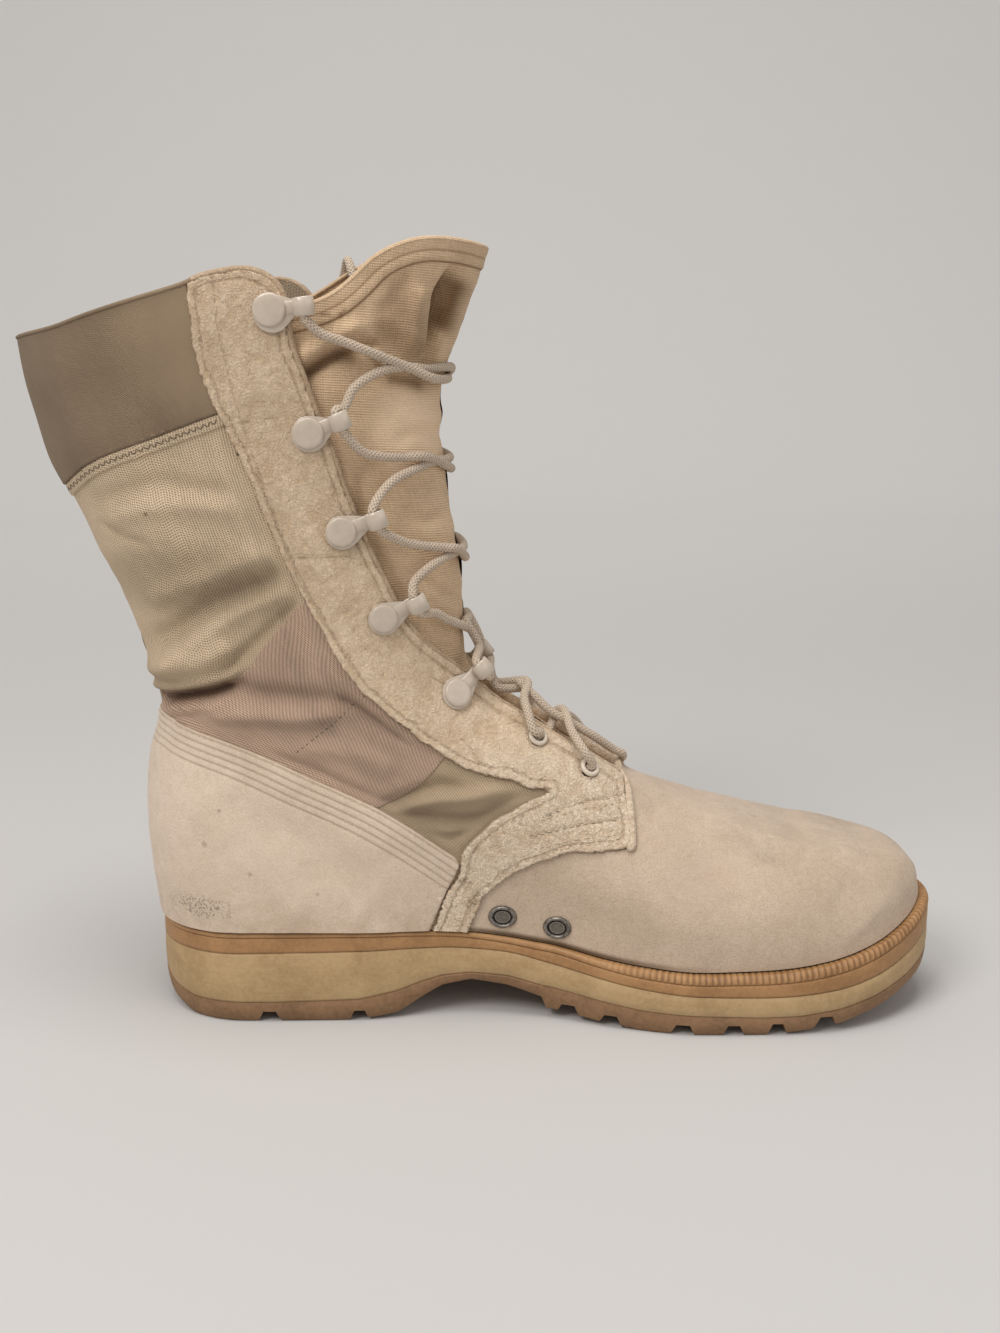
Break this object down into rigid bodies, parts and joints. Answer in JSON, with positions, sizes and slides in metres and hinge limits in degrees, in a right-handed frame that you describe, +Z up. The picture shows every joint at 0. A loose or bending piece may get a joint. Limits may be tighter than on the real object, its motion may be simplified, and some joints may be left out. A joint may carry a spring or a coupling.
{
  "type": "combat boot",
  "caption": "Left suede and canvas desert combat boot with lug sole, speed-lace hooks, laced tongue and open collar, standing empty.",
  "frame": {"origin": "on the floor under the centre of the heel's flat rest", "axes": "+X towards the toe, +Y towards the outer (lateral) side, +Z up the shaft"},
  "size_m": [0.3466, 0.1057, 0.2907],
  "materials": {
    "suede_leather": "rough-out suede, pinkish beige",
    "canvas": "coarse plain weave, olive tan",
    "collar_cloth": "fine twill, brown tan",
    "tongue_cloth": "ribbed cloth, tan",
    "tread_rubber": "moulded, brown",
    "cushion_foam": "moulded, yellow tan",
    "midsole_rubber": "moulded, orange brown",
    "welt_rubber": "stitched, light brown",
    "insole_felt": "felt",
    "hook_enamel": "beige enamel, satin",
    "vent_metal": "darkened",
    "lace_cord": "braided"
  },
  "bodies": {
    "root": {"upper": "canvas", "heel_counter": "suede_leather", "eyestay_medial": "suede_leather", "eyestay_lateral": "suede_leather", "collar_band": "collar_cloth", "tongue": "tongue_cloth", "insole": "insole_felt", "outsole": "tread_rubber", "cushion_wedge": "cushion_foam", "midsole": "midsole_rubber", "welt": "welt_rubber", "speed_hook_medial_1": "hook_enamel", "speed_hook_medial_2": "hook_enamel", "speed_hook_medial_3": "hook_enamel", "speed_hook_medial_4": "hook_enamel", "speed_hook_medial_5": "hook_enamel", "eyelet_medial_1": "hook_enamel", "eyelet_medial_2": "hook_enamel", "speed_hook_lateral_1": "hook_enamel", "speed_hook_lateral_2": "hook_enamel", "speed_hook_lateral_3": "hook_enamel", "speed_hook_lateral_4": "hook_enamel", "speed_hook_lateral_5": "hook_enamel", "eyelet_lateral_1": "hook_enamel", "eyelet_lateral_2": "hook_enamel", "vent_medial_1": "vent_metal", "vent_medial_2": "vent_metal", "lace_crossing_1": "lace_cord", "lace_crossing_2": "lace_cord", "lace_crossing_3": "lace_cord", "lace_crossing_4": "lace_cord", "lace_crossing_5": "lace_cord", "lace_crossing_6": "lace_cord"}
  },
  "joints": []
}
